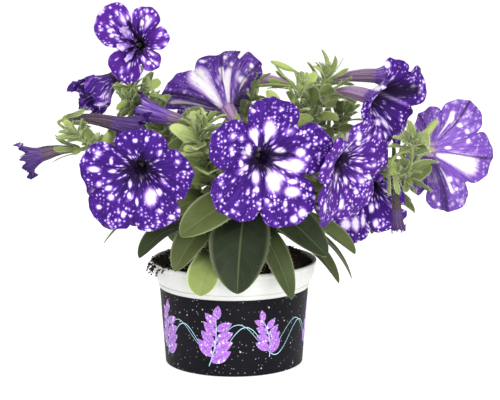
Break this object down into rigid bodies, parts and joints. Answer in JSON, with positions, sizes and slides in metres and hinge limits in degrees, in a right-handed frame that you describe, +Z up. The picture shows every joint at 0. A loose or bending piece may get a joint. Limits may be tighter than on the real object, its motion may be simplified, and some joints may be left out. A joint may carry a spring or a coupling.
{
  "type": "potted trailing petunia",
  "caption": "Bushy trailing petunia with speckled funnel-shaped flowers and spoon-shaped leaves, in a round tapered plastic pot with a wide rim and a dark printed sleeve.",
  "frame": {"origin": "centre of the flat underside of the pot", "axes": "+Z up along the pot's axis, -Y towards the front where the three largest flowers face, +X to the viewer's right"},
  "size_m": [0.3337, 0.2187, 0.2607],
  "materials": {
    "pot_plastic": "semi-gloss white",
    "sleeve_print": "dark satin print with fine pale flecks and lilac leaf sprigs",
    "potting_soil": "crumbly and matte",
    "leaf_green": "soft, finely haired",
    "petal_violet": "soft and velvety with white specks"
  },
  "bodies": {
    "root": {"pot": "pot_plastic", "pot_sleeve": "sleeve_print", "soil": "potting_soil", "bloom_front_left": "petal_violet", "bloom_front_centre": "petal_violet", "bloom_front_right": "petal_violet", "bloom_right_low": "petal_violet", "bloom_right_top": "petal_violet", "bloom_far_right": "petal_violet", "bloom_top_left": "petal_violet", "bloom_back_centre": "petal_violet", "bloom_back_left": "petal_violet", "bloom_back_middle": "petal_violet", "bloom_back_right": "petal_violet", "bloom_left_crumpled": "petal_violet", "spent_bloom_left": "petal_violet", "wilted_bloom_left": "petal_violet", "spent_bloom_far_left": "petal_violet", "spent_bloom_right": "petal_violet", "bloom_right_back": "petal_violet", "bloom_back_top": "petal_violet", "stem_left_low": "leaf_green", "stem_left_top": "leaf_green", "stem_centre_left": "leaf_green", "stem_centre": "leaf_green", "stem_right_top": "leaf_green", "stem_right": "leaf_green", "stem_right_low": "leaf_green", "stem_back_left": "leaf_green", "stem_back_centre": "leaf_green", "stem_back_right": "leaf_green"}
  },
  "joints": []
}
